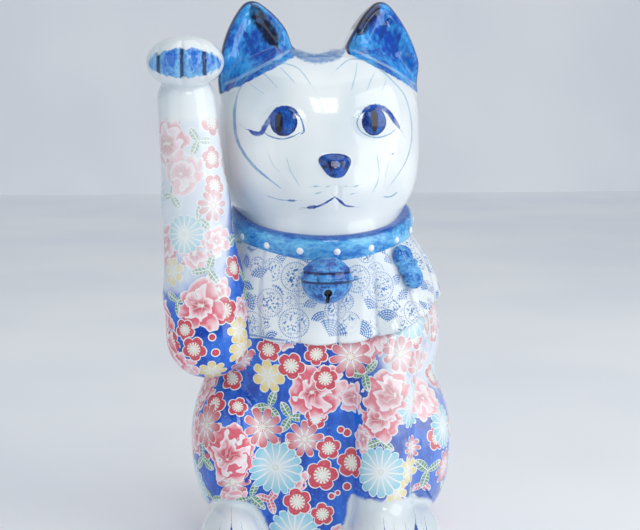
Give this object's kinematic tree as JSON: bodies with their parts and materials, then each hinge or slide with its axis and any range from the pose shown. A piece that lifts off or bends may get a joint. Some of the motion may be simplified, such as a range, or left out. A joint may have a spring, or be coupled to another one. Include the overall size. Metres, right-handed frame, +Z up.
{
  "type": "ceramic cat figurine",
  "caption": "Seated ceramic cat with one paw raised, wearing a collar with a bell, a side bow and a pleated bib, hollow cast with a drain hole in the flat base.",
  "frame": {"origin": "on the flat base, under the middle of the figure", "axes": "+Z up, -Y is the way the cat faces, +X is the cat's left; the raised paw is on -X"},
  "size_m": [0.1155, 0.113, 0.2084],
  "materials": {
    "white_glaze": "high gloss white glaze with painted blue face lines",
    "cobalt_glaze": "high gloss, brushed cobalt blue",
    "flowered_glaze": "high gloss over a many-coloured flower transfer on cobalt",
    "flowered_arm_glaze": "high gloss over a paler flower transfer",
    "paw_glaze": "high gloss white glaze with a brushed cobalt pad",
    "foot_glaze": "high gloss white glaze with cobalt toe strokes",
    "collar_glaze": "high gloss, brushed mid blue with raised white enamel dots",
    "bib_glaze": "high gloss white glaze with a small blue print",
    "bell_glaze": "high gloss, brushed cobalt blue",
    "bow_glaze": "high gloss, brushed blue"
  },
  "bodies": {
    "root": {"torso": "flowered_glaze", "head": "white_glaze", "left_ear": "cobalt_glaze", "right_ear": "cobalt_glaze", "raised_arm": "flowered_arm_glaze", "raised_paw": "paw_glaze", "left_foreleg": "flowered_glaze", "left_haunch": "flowered_glaze", "right_haunch": "flowered_glaze", "left_hind_foot": "foot_glaze", "right_hind_foot": "foot_glaze", "tail": "flowered_glaze", "collar": "collar_glaze", "bib": "bib_glaze", "bell": "bell_glaze", "bow_knot": "bow_glaze", "bow_upper_loop": "bow_glaze", "bow_lower_loop": "bow_glaze"}
  },
  "joints": []
}
